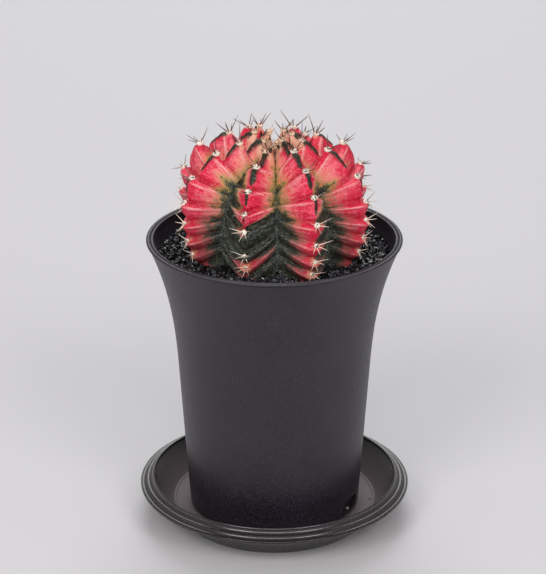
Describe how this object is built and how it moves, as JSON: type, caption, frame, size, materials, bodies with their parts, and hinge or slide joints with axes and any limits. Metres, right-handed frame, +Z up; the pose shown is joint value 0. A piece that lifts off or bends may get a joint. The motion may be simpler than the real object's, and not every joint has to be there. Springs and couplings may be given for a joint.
{
  "type": "potted moon cactus",
  "caption": "Ribbed, spiny variegated moon cactus growing in black grit, in a tall flared plastic pot that stands on a drip saucer.",
  "frame": {"origin": "centre of the saucer's foot, on the surface that it stands on", "axes": "+Z up along the axis of pot and plant; the pictured front faces -Y"},
  "size_m": [0.098, 0.098, 0.1498],
  "materials": {
    "saucer_plastic": "satin",
    "pot_plastic": "matte",
    "grit": "satin",
    "plant": "satin"
  },
  "bodies": {
    "root": {"saucer": "saucer_plastic", "pot": "pot_plastic", "soil": "grit", "cactus": "plant"}
  },
  "joints": []
}
